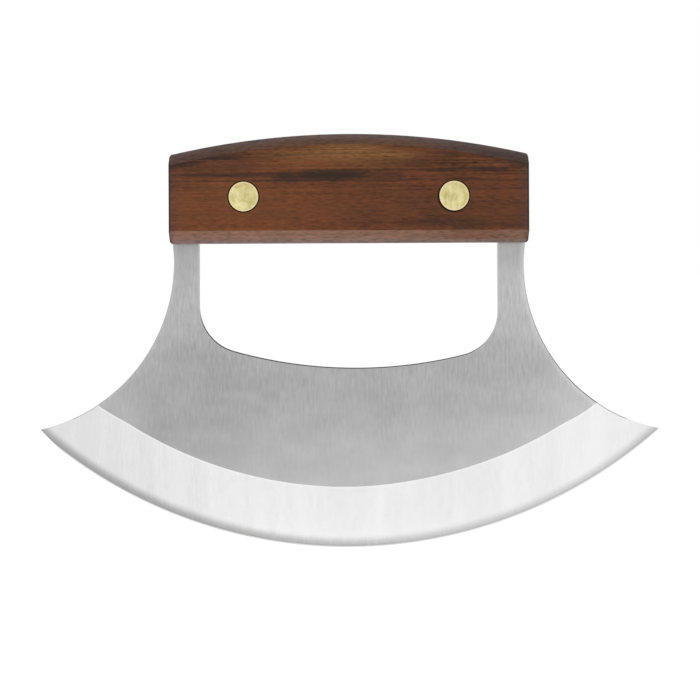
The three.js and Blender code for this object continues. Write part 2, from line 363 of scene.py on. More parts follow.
# Measure, the two places in mm between which the grey drifts, and by what share
FLAT_DRIFTS = (
    ("leaning Z", 42.0, 18.0, 0.29),
    ("Z", 48.0, 66.0, 0.28),
    # painted shade: the flat darkens just below the handle
    ("Z", 70.0, 80.0, -0.22),
    ("X", 34.0, 66.0, 0.32),
    ("X", -10.0, -38.0, -0.08),
    ("X", -48.0, -62.0, 0.14),
)
# Centre and radius of each flare in mm, and by what share its border is lighter
FLARE_BORDERS = (
    ((-92.85, 0, 76.8), 46.1, 0.2),
    ((91.45, 0, 75.5), 44.9, 0.4),
)
BORDER_WIDTH = 1.6
STROKE_DEPTH = 0.35
STROKE_DRIFTS = (("Z", 25.0, 62.0, 0.75), ("Z", 66.0, 77.0, -0.7))


def brushed_flat(tree, place, measures, noises):
    """Colour of the flats"""
    leaning = add(tree, "ShaderNodeMath", {0: measures["X"], 1: -BELT_LEAN, 2: measures["Z"]},
                  operation="MULTIPLY_ADD")
    share = add(tree, "ShaderNodeMapRange", {
        "Value": noises["clouds"], "To Min": BAND_SHARE - CLOUD_SWING, "To Max": BAND_SHARE + CLOUD_SWING})
    share = drifting(tree, share, {**measures, "leaning Z": leaning}, FLAT_DRIFTS)
    for centre, radius, change in FLARE_BORDERS:
        distance = add(tree, "ShaderNodeVectorMath", {0: place, 1: centre}, operation="DISTANCE")
        border = (("distance", radius + BORDER_WIDTH, radius, change),)
        share = drifting(tree, share, {"distance": distance}, border, "LINEAR")
    depth = drifting(tree, STROKE_DEPTH, measures, STROKE_DRIFTS, "LINEAR")
    stroke = add(tree, "ShaderNodeMath", {0: noises["strokes"], 1: MIDDLE_NOISE}, operation="SUBTRACT")
    stroked = add(tree, "ShaderNodeMath", {0: stroke, 1: depth, 2: share}, operation="MULTIPLY_ADD")
    return add(tree, "ShaderNodeMix", {"Factor": stroked, "A": linear(FLAT_DARK), "B": linear(FLAT_LIGHT)},
               data_type="RGBA")


print(len(FLAT_DRIFTS), "drifts over the flats and", len(FLARE_BORDERS), "lighter borders")

# %% [markdown]
# ### The ground bevel
#
# The bevel was ground on a fine wheel, so it is almost white, with faint upright bands where the wheel
# passed. It is a little greyer towards the left tip, and a bright burr line shows where the grinding
# stopped. An anisotropic shader could make the bands shimmer, but the light here comes from all round, so
# their colour is all that shows.

# %% The ground bevel
BEVEL_WIDTH = 16.3
BEVEL_GREY = "#D6D6D6"
BEVEL_WHITE = "#E8E8E8"
BEVEL_SHARE = -1.05
BEVEL_WEIGHTS = {"bands": 1.1, "strokes": 1.0}
# Measure, the two places in mm between which the bevel gets whiter, and by what share
BEVEL_DRIFTS = (
    ("X", -78.0, -60.0, 0.15),
    ("X", -58.0, -26.0, 0.5),
    ("X", 10.0, 55.0, 0.1),
    ("X", 55.0, 68.0, 0.12),
    ("X", 70.0, 80.0, -0.3),
)
BURR_WHITE = "#F6F6F6"
BURR_WIDTH = 0.5
BURR_SHARE = 0.6


def ground_bevel(tree, measures, shoulder, noises):
    """Colour of the bevel"""
    share = weighed(tree, BEVEL_SHARE, noises, BEVEL_WEIGHTS)
    share = drifting(tree, share, measures, BEVEL_DRIFTS)
    ground = add(tree, "ShaderNodeMix", {"Factor": share, "A": linear(BEVEL_GREY), "B": linear(BEVEL_WHITE)},
                 data_type="RGBA")
    burr = add(tree, "ShaderNodeMapRange", {
        "Value": shoulder, "From Min": BEVEL_WIDTH - BURR_WIDTH, "From Max": BEVEL_WIDTH,
        "To Max": BURR_SHARE})
    return add(tree, "ShaderNodeMix", {"Factor": burr, "A": ground, "B": linear(BURR_WHITE)},
               data_type="RGBA")


print("the bevel ends", EDGE_RADIUS - BEVEL_WIDTH, "mm from the centre of the edge's arc")

# %% [markdown]
# ### The honed strip
#
# The last millimetres were honed by hand on a stone. That strip has no border of its own: it darkens softly
# towards the edge, with fine ticks across it where the stone's grit cut. Right at the edge runs a darker
# line, and outside it a painted highlight stands for the light that the last polished facet catches. Faces
# with a material of their own could draw the strip too, but its inner border would then be hard.

# %% The honed strip
HONED_DARK = "#989898"
HONED_LIGHT = "#C4C4C4"
HONED_WEIGHTS = {"strokes": 0.4}
# Measure, the two places in mm between which the strip gets lighter, and by what share
HONED_DRIFTS = (
    ("X", -60.0, 60.0, 0.75),
    ("from edge", 0.95, 0.6, -0.3),
    ("X", 70.0, 79.0, -0.2),
)
# painted highlight: the last polished facet at the edge is drawn lighter as if it caught the light
EDGE_HIGHLIGHT = (("from edge", 0.5, 0.2, 0.7),)
EDGE_HIGHLIGHT_WHITE = "#E6E6E6"
HONED_START = 3.5
HONED_FULL = 0.9
NARROWER_STRIP = (("X", 0.0, 60.0, 0.4),)  # towards the right the honing keeps this much nearer to the edge


def honed_strip(tree, measures, noises):
    """Colour of the honed strip with a painted highlight at the very edge, and how much of the strip a spot
    shows
    """
    ticked = weighed(tree, 0.0, noises, HONED_WEIGHTS)
    ticked = drifting(tree, ticked, measures, HONED_DRIFTS, "LINEAR")
    honed = add(tree, "ShaderNodeMix", {"Factor": ticked, "A": linear(HONED_DARK), "B": linear(HONED_LIGHT)},
                data_type="RGBA")
    highlight = drifting(tree, 0.0, measures, EDGE_HIGHLIGHT, "LINEAR")
    colour = add(tree, "ShaderNodeMix", {"Factor": highlight, "A": honed, "B": linear(EDGE_HIGHLIGHT_WHITE)},
                 data_type="RGBA")
    inward = drifting(tree, measures["from edge"], measures, NARROWER_STRIP, "LINEAR")
    share = add(tree, "ShaderNodeMapRange", {
        "Value": inward, "From Min": HONED_START, "From Max": HONED_FULL}, interpolation_type="SMOOTHSTEP")
    return colour, share


print("the honing fades out", HONED_START, "mm from the edge")

# %% [markdown]
# ### The cut edges
#
# The outline was cut from sheet. Its rounded edges that look up and to the right get a painted shade,
# because most light comes from below and from the left, and the bevel's edges and the tang round the handle,
# which was sanded flush with the wood, get none. So the colour depends on which way the metal faces. The
# mesh normal in the object's own axes tells that, and it stays put when the camera moves.

# %% The cut edges
# painted shade on the rounded cut edges that face away from the light
CUT_EDGE_SHADE = "#323232"
CUT_CLEAN = "#BCBCBC"
SHADED_SIDE = (0.35, 0, 0.94)
# Below, the skin is the painted shade on the cut edges.
SHADE_FACING = (0.3, 0.6)  # how far the metal must face that side for the skin to begin and to be whole
ROUNDING_FLATNESS = (0.979, 0.94)  # how far a spot must turn from the flat to belong to the cut edge
HANDLE_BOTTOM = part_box("front_scale")[0].z / MM


def cut_edge(tree, measures, normal, ground):
    """Colour of the plate's cut edges, with painted shade where they face away from the light and are not
    ground, and how much of it a spot shows
    """
    in_handle = add(tree, "ShaderNodeMath", {0: measures["Z"], 1: HANDLE_BOTTOM}, operation="GREATER_THAN")
    across = add(tree, "ShaderNodeSeparateXYZ", {0: normal}).node.outputs["Y"]
    flatness = add(tree, "ShaderNodeMath", {0: across}, operation="ABSOLUTE")
    share = add(tree, "ShaderNodeMapRange", {
        "Value": flatness, "From Min": ROUNDING_FLATNESS[0], "From Max": ROUNDING_FLATNESS[1]})
    upward = add(tree, "ShaderNodeVectorMath", {0: normal, 1: SHADED_SIDE}, operation="DOT_PRODUCT")
    painted_shade = add(tree, "ShaderNodeMapRange", {
        "Value": upward.node.outputs["Value"], "From Min": SHADE_FACING[0], "From Max": SHADE_FACING[1]})
    for clean in (ground, in_handle):
        painted_shade = add(tree, "ShaderNodeMath", {0: painted_shade, 1: clean}, operation="SUBTRACT", use_clamp=True)
    colour = add(tree, "ShaderNodeMix", {"Factor": painted_shade, "A": linear(CUT_CLEAN), "B": linear(CUT_EDGE_SHADE)},
                 data_type="RGBA")
    return colour, share


print("the dark skin is on the side that faces", SHADED_SIDE)

# %% [markdown]
# ### One material for the plate
#
# The three finishes and the cut edges are laid over each other from the flats outward. The border of the
# bevel is sharp but not quite parallel to the edge: the wheel bit a little deeper on the right and ran
# out at both ends. The steel keeps a metal's default IOR. Brushed stainless steel is typically 0.15 to 0.35
# rough, and here the roughness and a faint bump come from the same strokes that colour it.

# %% The stainless finish
# Measure, the two places in mm between which the shoulder drifts, and how far the bevel gets narrower
SHOULDER_DRIFTS = (
    ("X", -5.0, 28.0, -0.4),
    ("X", 56.0, 63.0, 0.5),
    ("X", -58.0, -68.0, 0.65),
)
SHOULDER_BLUR = 0.1
STEEL_ROUGHNESS = (0.16, 0.3)  # between the strokes and on them
STROKE_RELIEF = 0.02 * MM
STROKE_BUMP = 0.1


def stainless_brushed_and_ground():
    """Brushed and ground stainless: the eye sees a grey satin, a whiter bevel and a dark fine edge, with
    painted shade on the cut edges that face away from the light and a painted highlight at the very edge
    """
    material, tree = fresh_material("stainless_steel_brushed_and_ground")
    coordinates = add(tree, "ShaderNodeTexCoord").node.outputs
    place, measures = plate_place(tree, coordinates["Object"])
    noises = patterns(tree, place, PLATE_PATTERNS, PLATE_NOISE_ROUGHNESS)
    shoulder = drifting(tree, measures["from edge"], measures, SHOULDER_DRIFTS)
    ground = add(tree, "ShaderNodeMapRange", {
        "Value": shoulder, "From Min": BEVEL_WIDTH + SHOULDER_BLUR, "From Max": BEVEL_WIDTH - SHOULDER_BLUR})

    bevel = ground_bevel(tree, measures, shoulder, noises)
    strip, honed = honed_strip(tree, measures, noises)
    painted_shade, cut = cut_edge(tree, measures, coordinates["Normal"], ground)
    colour = brushed_flat(tree, place, measures, noises)
    for share, finish in ((ground, bevel), (honed, strip), (cut, painted_shade)):
        colour = add(tree, "ShaderNodeMix", {"Factor": share, "A": colour, "B": finish}, data_type="RGBA")

    roughness = add(tree, "ShaderNodeMapRange", {
        "Value": noises["strokes"], "To Min": STEEL_ROUGHNESS[0], "To Max": STEEL_ROUGHNESS[1]})
    bump = add(tree, "ShaderNodeBump", {
        "Strength": STROKE_BUMP, "Distance": STROKE_RELIEF, "Height": noises["strokes"]})
    steel = add(tree, "ShaderNodeBsdfPrincipled", {
        "Base Color": colour, "Metallic": 1.0, "Roughness": roughness, "Normal": bump})
    add(tree, "ShaderNodeOutputMaterial", {"Surface": steel})
    return material


stainless = stainless_brushed_and_ground()
print("material:", stainless.name, "with", len(stainless.node_tree.nodes), "nodes")

# %% [markdown]
# ### The blade
#
# After cutting, the outline of such a plate is broken with a file or a tumbler, so that no burr is left
# where a finger goes. The same edges are rounded here: all round the window and down the flares. The
# cutting edge stays sharp, and so does the tang, which the scales hold on both sides. The rounding ends
# just inside the handle, where nobody sees it stop.

# %% The blade
HIDDEN_ROUNDING = 0.25  # how far the rounding runs on inside the handle
POST_TOP = (HANDLE_BOTTOM + HIDDEN_ROUNDING) * MM
THIN_PLATE = 0.6 * MM  # nearer than this to the middle of the plate its edges belong to the bevel
PLATE_ROUNDING = 0.38 * MM


def plate_edge(edge):
    """An edge of the flats below the handle, where the plate is still thick"""
    return all(v.co.z < POST_TOP and abs(v.co.y) > THIN_PLATE for v in edge.verts)


softened("blade", "blade_plate", stainless, plate_edge, PLATE_ROUNDING)

# %% [markdown]
# ## Walnut: sawn, chamfered, sanded and oiled
#
# Both scales come from one board of dark walnut whose grain runs along the handle. Close up, five things
# make the figure: growth layers a couple of millimetres thick, soft patches, long fibres, short specks,
# and dark pores like fine dashes. Each is a pattern that is stretched along the handle by its real sizes.
# A Wave texture could draw the layers too, but its lines are too even for a board like this one.

# %% The grain
# Length along the handle, depth and height of one patch in mm, and its detail. Real pores and specks are
# thinner than a pixel, so they are drawn about twice as high to show.
GRAIN = {
    "layers": ((45.0, 6.0, 2.4), 2.0),
    "patches": ((8.0, 5.0, 3.2), 2.0),
    "fibres": ((45.0, 0.8, 0.55), 2.0),
    "specks": ((1.8, 0.5, 0.45), 1.0),
    "pores": ((2.6, 0.35, 0.3), 0.0),
}
BOARD_LEAN = 0.12  # how far the layers climb through the thickness of the board
FACE_DEPTH = -CAD_LOW.y / MM


def board_place(tree, straight):
    """A spot in the board in mm, measured along its leaning layers"""
    depth = add(tree, "ShaderNodeSeparateXYZ", {0: straight}).node.outputs["Y"]
    climb = add(tree, "ShaderNodeMath", {0: depth, 1: BOARD_LEAN, 2: FACE_DEPTH * BOARD_LEAN},
                operation="MULTIPLY_ADD")
    lift = add(tree, "ShaderNodeCombineXYZ", {"Z": climb})
    return add(tree, "ShaderNodeVectorMath", {0: straight, 1: lift}, operation="ADD")


for name, (size, _) in GRAIN.items():
    print(f"{name}: {size[0]} mm long and {size[2]} mm high")

# %% [markdown]
# ### The brown of the board
#
# Oil makes walnut a deep red-brown. The board gets darker to the right, and darker at its ends, where
# painted shade stands for the rounded ends turning away from the light, and in its upper half the fibres lie
# close together, so that they show as lines. A Color Ramp over one noise could give such browns, but the
# slow changes across the board are what make it this one.

# %% The brown of the board
BROWN_DARK = "#321F15"
BROWN_LIGHT = "#9A5935"
BROWN_TONE = -0.44
BROWN_WEIGHTS = {"layers": 0.26, "patches": 0.32, "fibres": 0.34, "specks": 0.56}
# Measure, the two places in mm between which the brown gets lighter, and by what share
BROWN_DRIFTS = (
    ("X", 34.0, -40.0, 0.22),
    ("Z", 95.0, 99.0, -0.02),
    ("X", 22.0, 36.0, 0.03),
    # These two rows are painted shade at the ends of the face.
    ("X", -43.5, -46.5, -0.12),
    ("X", 43.5, 46.5, -0.05),
)
FIBRE_LINES = (("Z", 92.0, 99.0, 0.7),)


def board_brown(tree, measures, noises):
    """Brown of the oiled board"""
    tone = weighed(tree, BROWN_TONE, noises, BROWN_WEIGHTS)
    tone = drifting(tree, tone, measures, BROWN_DRIFTS)
    line = add(tree, "ShaderNodeMath", {0: noises["fibres"], 1: MIDDLE_NOISE}, operation="SUBTRACT")
    lined = drifting(tree, 0.0, measures, FIBRE_LINES, "LINEAR")
    tone = add(tree, "ShaderNodeMath", {0: line, 1: lined, 2: tone}, operation="MULTIPLY_ADD")
    return add(tree, "ShaderNodeMix", {"Factor": tone, "A": linear(BROWN_DARK), "B": linear(BROWN_LIGHT)},
               data_type="RGBA")


print("the brown runs from", BROWN_DARK, "to", BROWN_LIGHT)

# %% [markdown]
# ### Heart streaks and golden sapwood
#
# This board has near-black heart streaks and a golden patch under the crown. A streak is a long soft
# ellipse with feathered borders. A short list says where each one lies, how long and high it is, how it
# climbs and how deep its colour goes, and the Mapping node turns a spot into the ellipse's own measure.
# The patterns of the grain feather its border.

# %% The streaks of this board
# Middle along and up the handle, half the length and half the height, all in mm, then rise and depth
DARK_STREAKS = (
    (-5.5, 98.9, 16.5, 1.75, 0.02, 1.0),
    (-15.5, 98.6, 6.0, 1.7, 0.0, 0.85),
    (10.0, 98.8, 9.0, 1.6, 0.0, 0.45),
    (7.0, 97.4, 10.0, 0.4, 0.0, 0.5),
    (-39.5, 99.3, 9.5, 0.6, 0.0, 0.8),
    (-33.0, 99.1, 6.0, 0.7, -0.03, 0.8),
    (-24.0, 99.4, 9.0, 0.7, 0.0, 0.7),
    (-42.5, 102.2, 9.0, 1.1, 0.12, 0.95),
    (-34.0, 103.6, 8.5, 1.0, 0.05, 0.95),
    (-33.0, 101.4, 17.0, 4.8, 0.08, 0.4),
    (-28.0, 101.7, 6.0, 0.35, 0.0, 0.5),
    (-20.0, 103.9, 8.0, 0.5, 0.1, 0.4),
    (22.9, 100.1, 5.0, 0.55, 0.0, 0.75),
    (37.9, 100.4, 6.0, 0.5, 0.0, 0.8),
    (44.4, 101.6, 3.2, 0.6, 0.0, 0.6),
    (30.5, 98.1, 4.5, 0.3, 0.0, 0.7),
    (17.5, 98.1, 3.0, 0.4, 0.0, 0.55),
    (27.0, 104.6, 6.0, 0.6, -0.08, 0.55),
    (37.0, 103.6, 8.0, 0.7, -0.14, 0.5),
    (30.0, 86.8, 16.0, 2.4, 0.0, 0.45),
    (-40.5, 98.0, 10.0, 4.0, 0.0, 0.25),
    (4.0, 88.5, 9.0, 3.0, 0.0, 0.15),
)
GOLDEN_STREAKS = (
    (-2.0, 104.4, 22.0, 2.6, 0.0, 0.8),
    (0.0, 105.9, 12.0, 2.8, 0.0, 1.0),
    (10.0, 104.6, 9.0, 1.8, -0.05, 0.85),
    (-8.0, 101.6, 14.0, 1.0, 0.0, 0.12),
    (6.5, 101.6, 9.0, 1.0, 0.0, 0.35),
    (37.8, 101.7, 6.0, 0.6, 0.0, 0.3),
)
BOARD_THROUGH = 1000.0  # a streak runs through the whole thickness of the board
STREAK_FADE = (1.35, 0.25)  # a streak begins here and is whole here, as shares of its half sizes
FEATHER = -1.3
FEATHER_WEIGHTS = {"patches": 0.8, "fibres": 1.2, "specks": 0.6}


def streak_depth(tree, place, noises, streaks):
    """How deep a spot lies in the deepest of some streaks"""
    feather = weighed(tree, FEATHER, noises, FEATHER_WEIGHTS)
    deepest = 0.0
    for along, height, half_length, half_height, rise, depth in streaks:
        inside = add(tree, "ShaderNodeMapping", {
            "Vector": place, "Location": (along, 0, height), "Rotation": (0, -rise, 0),
            "Scale": (half_length, BOARD_THROUGH, half_height)}, vector_type="TEXTURE")
        distance = add(tree, "ShaderNodeVectorMath", {0: inside}, operation="LENGTH").node.outputs["Value"]
        feathered = add(tree, "ShaderNodeMath", {0: distance, 1: feather}, operation="ADD")
        here = add(tree, "ShaderNodeMapRange", {
            "Value": feathered, "From Min": STREAK_FADE[0], "From Max": STREAK_FADE[1], "To Max": depth},
            interpolation_type="SMOOTHSTEP")
        deepest = add(tree, "ShaderNodeMath", {0: here, 1: deepest}, operation="MAXIMUM")
    return deepest


print(len(DARK_STREAKS), "dark and", len(GOLDEN_STREAKS), "golden streaks")

# %% [markdown]
# ### The figure of the oiled face
#
# The face is laid up like a stain: first the brown, a cold tint at the ends and an olive one along some
# layers, then gold, heart and pores. Inside the golden patch bright lines follow the fibres. A picture of
# a board could hold all of it, but a figure that is worked out in space runs through the wood and fits
# at every edge.

# %% The figure of the face
OLIVE = "#593C22"
OLIVE_LAYERS = (("layers", 0.45, 0.75, 0.35),)
GOLD_DARK = "#5E3C26"
GOLD_LIGHT = "#996C40"
GOLD_LINES = (("lines", 0.64, 1.36, 1.0),)
HEART = "#36261F"
PORE_BROWN = "#2B1A12"
PORE_START = 0.64
PORE_FULL = 0.78
PORE_SHARE = 0.3
COLD_BROWN = "#5E585C"
COLD_ENDS = (("outward", 43.0, 46.5, 0.15),)


def oiled_face(tree, place, noises):
    """Colour of the scales' faces"""
    axes = add(tree, "ShaderNodeSeparateXYZ", {0: place}).node.outputs
    outward = add(tree, "ShaderNodeMath", {0: axes["X"]}, operation="ABSOLUTE")
    lines = add(tree, "ShaderNodeMath", {0: noises["fibres"], 1: noises["specks"]}, operation="ADD")
    measures = {"X": axes["X"], "Z": axes["Z"], "outward": outward, "lines": lines, **noises}
    bright = drifting(tree, 0.0, measures, GOLD_LINES, "LINEAR")
    gold = add(tree, "ShaderNodeMix", {"Factor": bright, "A": linear(GOLD_DARK), "B": linear(GOLD_LIGHT)},
               data_type="RGBA")
    cold = drifting(tree, 0.0, measures, COLD_ENDS, "LINEAR")
    olive = drifting(tree, 0.0, measures, OLIVE_LAYERS, "LINEAR")
    golden = streak_depth(tree, place, noises, GOLDEN_STREAKS)
    dark = streak_depth(tree, place, noises, DARK_STREAKS)
    dashes = add(tree, "ShaderNodeMapRange", {
        "Value": noises["pores"], "From Min": PORE_START, "From Max": PORE_FULL, "To Max": PORE_SHARE})
    colour = board_brown(tree, measures, noises)
    for share, over in ((cold, linear(COLD_BROWN)), (olive, linear(OLIVE)), (golden, gold),
                        (dark, linear(HEART)), (dashes, linear(PORE_BROWN))):
        colour = add(tree, "ShaderNodeMix", {"Factor": share, "A": colour, "B": over}, data_type="RGBA")
    return colour


print("gold from", GOLD_DARK, "to", GOLD_LIGHT, "and heart", HEART)

# %% [markdown]
# ### Marks round the rivets
#
# Oil and brass dust gather round the rivets in an olive ring. The right rivet sits a little off the middle
# of its hole, which leaves a wider gap beside it, and a dark crescent of painted shade stands for the shade
# in that gap. Thin rings of mesh could show both, but a distance is enough: from the rivet's axis for the
# ring, from the middle of the hole for the crescent. The packed rivet says where its axis lies.

# %% Marks round the rivets
rivet_low, rivet_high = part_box("rivet_right_barrel")
rivet_middle = (rivet_low + rivet_high) / 2
RIVET_AXIS = (rivet_middle.x / MM, 0, rivet_middle.z / MM)
RING_OLIVE = "#7A5C1C"
RING_RADIUS = 4.3
RING_SHARE = 0.9
# painted shade: the dark crescent in the wider gap beside the right rivet
GAP_SHADE = "#1C120C"
HOLE_LEFT = 0.22  # the right hole's middle lies this far to the left of its rivet
HOLE_DOWN = 0.2  # and this far below it
CRESCENT_MIDDLE = (RIVET_AXIS[0] - HOLE_LEFT, -FACE_DEPTH, RIVET_AXIS[2] - HOLE_DOWN)
CRESCENT_RADIUS = 4.25
CRESCENT_SHARE = 0.7
MARK_BLUR = 0.1


def from_rivet_axis(tree, straight):
    """How far a spot lies from the axis of the nearer rivet, in mm"""
    mirrored = add(tree, "ShaderNodeVectorMath", {0: straight}, operation="ABSOLUTE")
    side_view = add(tree, "ShaderNodeVectorMath", {0: mirrored, 1: SIDE_VIEW}, operation="MULTIPLY")
    distance = add(tree, "ShaderNodeVectorMath", {0: side_view, 1: RIVET_AXIS}, operation="DISTANCE")
    return distance.node.outputs["Value"]


def rivet_marks(tree, straight, colour):
    """The face's colour with the olive rings and the crescent of painted shade on it"""
    off_middle = add(tree, "ShaderNodeVectorMath", {0: straight, 1: CRESCENT_MIDDLE}, operation="DISTANCE")
    marks = (
        (from_rivet_axis(tree, straight), RING_RADIUS, RING_SHARE, RING_OLIVE),
        (off_middle.node.outputs["Value"], CRESCENT_RADIUS, CRESCENT_SHARE, GAP_SHADE),
    )
    for distance, radius, most, code in marks:
        share = add(tree, "ShaderNodeMapRange", {
            "Value": distance, "From Min": radius + MARK_BLUR, "From Max": radius - MARK_BLUR,
            "To Max": most})
        colour = add(tree, "ShaderNodeMix", {"Factor": share, "A": colour, "B": linear(code)},
                     data_type="RGBA")
    return colour


print("right rivet at", [round(value / MM, 2) for value in rivet_middle])

# %% [markdown]
# ### The chamfer along the crown
#
# The chamfers were sanded after the oil, so they look dusty, with the grain showing through as fine
# scratches, and they are paler than the face, partly as a painted reflection of the lit table and tent.
# Along the crown the top is grey, a painted reflection of the tent above. Below that the chamfer turns dark
# towards both ends in a painted shade, and to the right it is colder. The crown is an arc, so the depth
# below it is again a distance from a centre.

# %% The chamfer along the crown
CROWN_RADIUS = 208.0
CROWN_CENTRE = (0, 0, CAD_HIGH.z / MM - CROWN_RADIUS)
# painted reflection: the grey at the top of the crown's chamfer stands for the tent mirrored there
CROWN_REFLECTION_GREY = "#817170"
CROWN_BROWN = "#795846"
# painted shade: the chamfer darkens below the crown towards both ends
CROWN_SHADE = "#55433E"
# Measure, the two places in mm between which the crown's chamfer changes, and by what share
BROWN_BELOW_CROWN = (("below crown", 0.0, 1.9, 1.0),)
COLD_CROWN = (("X", 20.0, 46.0, 0.6),)
SHADED_CROWN_ENDS = (("X", -14.0, -40.0, 0.55), ("X", 14.0, 40.0, 0.9))


def crown_chamfer(tree, straight, axes):
    """Colour of the chamfer along the crown"""
    side_view = add(tree, "ShaderNodeVectorMath", {0: straight, 1: SIDE_VIEW}, operation="MULTIPLY")
    distance = add(tree, "ShaderNodeVectorMath", {0: side_view, 1: CROWN_CENTRE}, operation="DISTANCE")
    from_centre = distance.node.outputs["Value"]
    below = add(tree, "ShaderNodeMath", {0: CROWN_RADIUS, 1: from_centre}, operation="SUBTRACT")
    brown = drifting(tree, 0.0, {"below crown": below}, BROWN_BELOW_CROWN, "LINEAR")
    cold = drifting(tree, 0.0, axes, COLD_CROWN, "LINEAR")
    ends = drifting(tree, 0.0, axes, SHADED_CROWN_ENDS, "LINEAR")
    dark = add(tree, "ShaderNodeMath", {0: ends, 1: brown}, operation="MULTIPLY")
    colour = linear(CROWN_REFLECTION_GREY)
    for share, code in ((brown, CROWN_BROWN), (cold, COLD_BROWN), (dark, CROWN_SHADE)):
        colour = add(tree, "ShaderNodeMix", {"Factor": share, "A": colour, "B": linear(code)},
                     data_type="RGBA")
    return colour


print("the crown is an arc of", CROWN_RADIUS, "mm radius")

# %% [markdown]
# ### The chamfer along the bottom
#
# The lower chamfer is warm where it meets the face and greyer below, and paler than the face both from
# sanding dust and as a painted reflection of the lit table below. Its lowest edge and the underside are a
# darker grey, painted shade, and to the right runs a redder stretch. At both ends a dark outline leans in
# round the corner, where the end grain comes through and painted shade darkens the corner that turns away
# from the light. Each colour is a layer with a share of its own, so that one can move without the others.

# %% The chamfer along the bottom
# The chamfer's colours are sanding dust and a painted reflection of the lit table, which makes them paler
# than the face.
DUST_AND_SHEEN_WARM = "#7C5A48"
DUST_AND_SHEEN_GREY = "#785D54"
DUST_AND_SHEEN_RED = "#6C4A3A"
BOTTOM_EDGE_SHADE = "#73605C"
# end grain, and painted shade where the rounded ends turn away from the light
END_GRAIN_AND_SHADE = "#2C2426"
CHAMFER_TOP = 84.6
CORNER_LEAN = 0.28  # the dark outline leans in by this slope
# Measure, the two places in mm between which the colour comes in, and its share
GREY_DUST_AND_SHEEN = (("Z", CHAMFER_TOP, 81.5, 1.0),)
RED_DUST_AND_SHEEN = (("X", -10.0, 20.0, 0.27), ("X", 20.0, 29.0, 0.68), ("X", 36.0, 42.0, -0.46))
# painted shade: the lowest edge of the chamfer and the underside are a darker grey
SHADED_BOTTOM_EDGE = (("Z", 82.4, 81.9, 0.9),)
# the dark corner and outline are end grain with painted shade
DARK_CORNER = (("outward", 45.4, 46.8, 0.4),)
DARK_OUTLINE = (("leaning", 47.1, 47.4, 0.65),)


def bottom_chamfer(tree, axes):
    """Colour of the chamfer along the bottom"""
    outward = add(tree, "ShaderNodeMath", {0: axes["X"]}, operation="ABSOLUTE")
    drop = add(tree, "ShaderNodeMath", {0: CHAMFER_TOP, 1: axes["Z"]}, operation="SUBTRACT")
    leaning = add(tree, "ShaderNodeMath", {0: drop, 1: CORNER_LEAN, 2: outward}, operation="MULTIPLY_ADD")
    measures = {"X": axes["X"], "Z": axes["Z"], "outward": outward, "leaning": leaning}
    layers = (
        (GREY_DUST_AND_SHEEN, "LINEAR", DUST_AND_SHEEN_GREY),
        (RED_DUST_AND_SHEEN, "SMOOTHSTEP", DUST_AND_SHEEN_RED),
        (SHADED_BOTTOM_EDGE, "LINEAR", BOTTOM_EDGE_SHADE),
        (DARK_CORNER, "LINEAR", END_GRAIN_AND_SHADE),
        (DARK_OUTLINE, "LINEAR", END_GRAIN_AND_SHADE),
    )
    colour = linear(DUST_AND_SHEEN_WARM)
    for drifts, ease, code in layers:
        share = drifting(tree, 0.0, measures, drifts, ease)
        colour = add(tree, "ShaderNodeMix", {"Factor": share, "A": colour, "B": linear(code)},
                     data_type="RGBA")
    return colour


print("the lower chamfer begins", round(CHAMFER_TOP - HANDLE_BOTTOM, 2), "mm above the handle's bottom")

# %% [markdown]
# ### Grain through the dust and the painted light
#
# The dust lies thin, so the grain shows through it lighter and darker, and on some specks the oiled wood is
# bare. Therefore the chamfers' colour, dust and painted light together, is scaled by the patterns of the
# grain, and the face's own colour comes back on the specks. Which chamfer a spot belongs to, its height
# tells, because the rivets lie between the two.

# %% Grain through the dust
DUST_AND_SHEEN_TONE = -0.35
DUST_AND_SHEEN_WEIGHTS = {"fibres": 0.7, "specks": 1.6, "patches": 0.4}
BARE_SPECKS = (("specks", 0.5, 0.8, 0.5),)


def chamfer_dust_and_painted_light(tree, straight, noises, face):
    """Colour of both chamfers, dust with painted light and shade, with the grain showing through"""
    axes = add(tree, "ShaderNodeSeparateXYZ", {0: straight}).node.outputs
    bottom = bottom_chamfer(tree, axes)
    crown = crown_chamfer(tree, straight, axes)
    upper_half = add(tree, "ShaderNodeMath", {0: axes["Z"], 1: RIVET_AXIS[2]}, operation="GREATER_THAN")
    dust_and_painted_light = add(tree, "ShaderNodeMix", {"Factor": upper_half, "A": bottom, "B": crown}, data_type="RGBA")
    brightness = weighed(tree, DUST_AND_SHEEN_TONE, noises, DUST_AND_SHEEN_WEIGHTS)
    grained = add(tree, "ShaderNodeVectorMath", {0: dust_and_painted_light, "Scale": brightness}, operation="SCALE")
    bare = drifting(tree, 0.0, noises, BARE_SPECKS, "LINEAR")
    return add(tree, "ShaderNodeMix", {"Factor": bare, "A": grained, "B": face}, data_type="RGBA")


print("the chamfers part at", round(RIVET_AXIS[2], 2), "mm, the height of the rivets")

# %% [markdown]
# ### One material for the walnut
#
# Which finish a spot shows, its normal tells: the face looks forward, the chamfers slant, and the ends cut
# across the fibres, so they drink the oil and turn dark, and their dark also holds painted shade where the
# ends turn away from the light. A material for each kind of face would do it too, but the normal also blends
# them over the rounded edges. Sunken oil leaves the wood a soft sheen, so it keeps the usual IOR of 1.5 with
# a low specular level, and only the pores and the end grain are rougher.

# %% The walnut finish
# the chamfers' colour is dust with painted light and shade
CHAMFER_SLANT = (0.3, 0.6)  # how far a face must slant for the dust to begin and to be whole
END_FACING = (0.2, 0.7)  # how far it must face an end for the end grain to begin and to be whole
END_SHARE = 0.8
WOOD_ROUGHNESS = (0.45, 0.9)  # on the oiled face and in the pores
WOOD_SHEEN = 0.15
PORE_RELIEF = 0.03 * MM
PORE_BUMP = 0.3


